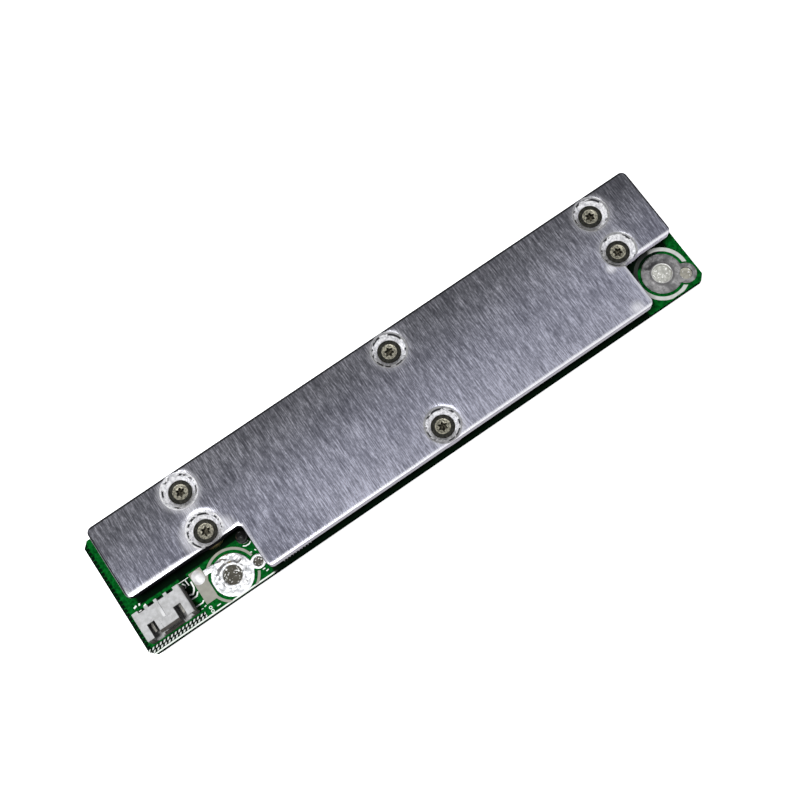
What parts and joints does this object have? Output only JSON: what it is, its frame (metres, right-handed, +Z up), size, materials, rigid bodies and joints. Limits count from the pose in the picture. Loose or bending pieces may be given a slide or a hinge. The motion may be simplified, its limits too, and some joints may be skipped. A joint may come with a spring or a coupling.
{
  "type": "battery management board",
  "caption": "Long green battery management board under a notched, dimpled aluminium heat plate, with a side-entry cell header and two round wire terminals.",
  "frame": {"origin": "middle of the circuit board's outline, on the plane that the nuts stand on", "axes": "+X along the board away from the header, +Y across it away from the notches, +Z up through the heat plate"},
  "size_m": [0.125, 0.025, 0.0113],
  "materials": {
    "solder_mask": "glossy green solder mask over fibreglass",
    "plate_aluminium": "brushed across the board, lightly scratched",
    "screw_nickel": "nickel plated, dull rim and bright warm middle",
    "nut_zinc": "zinc plated",
    "washer_fibre": "red-brown fibre",
    "spacer_brass": "turned",
    "header_nylon": "moulded, satin",
    "pin_tin": "tin plated",
    "solder": "bright solder",
    "black_epoxy": "moulded, fine grain",
    "lead_tin": "matt tin",
    "gap_pad_grey": "soft silicone",
    "terminal_tin": "hot-tinned, uneven",
    "bare_land": "flat tinned copper",
    "bead_epoxy": "dipped epoxy",
    "shunt_body": "coated, tinned ends",
    "chip_resistor": "glazed, tinned ends",
    "chip_capacitor": "ceramic, tinned ends"
  },
  "bodies": {
    "root": {"circuit_board": "solder_mask", "heat_plate": "plate_aluminium", "plate_screws": "screw_nickel", "plate_nuts": "nut_zinc", "insulating_washers": "washer_fibre", "plate_spacers": "spacer_brass", "header_shell": "header_nylon", "header_pin_1": "pin_tin", "header_pin_2": "pin_tin", "header_pin_3": "pin_tin", "header_pin_4": "pin_tin", "solder_joints": "solder", "mosfet_body_1": "black_epoxy", "mosfet_frame_1": "lead_tin", "mosfet_body_2": "black_epoxy", "mosfet_frame_2": "lead_tin", "mosfet_body_3": "black_epoxy", "mosfet_frame_3": "lead_tin", "mosfet_body_4": "black_epoxy", "mosfet_frame_4": "lead_tin", "mosfet_body_5": "black_epoxy", "mosfet_frame_5": "lead_tin", "mosfet_body_6": "black_epoxy", "mosfet_frame_6": "lead_tin", "gap_pad_1": "gap_pad_grey", "gap_pad_2": "gap_pad_grey", "terminal_left": "terminal_tin", "terminal_right": "terminal_tin", "land_left": "bare_land", "land_right": "bare_land", "solder_blob": "solder", "temperature_bead": "bead_epoxy", "monitor_chip": "black_epoxy", "monitor_legs": "lead_tin", "shunt_1": "shunt_body", "shunt_2": "shunt_body", "shunt_3": "shunt_body", "bleed_resistor_1": "chip_resistor", "bleed_transistor_1": "black_epoxy", "filter_capacitor_1": "chip_capacitor", "bleed_resistor_2": "chip_resistor", "bleed_transistor_2": "black_epoxy", "filter_capacitor_2": "chip_capacitor", "bleed_resistor_3": "chip_resistor", "bleed_transistor_3": "black_epoxy", "filter_capacitor_3": "chip_capacitor", "bleed_resistor_4": "chip_resistor", "bleed_transistor_4": "black_epoxy", "filter_capacitor_4": "chip_capacitor", "surge_diode": "black_epoxy"}
  },
  "joints": []
}
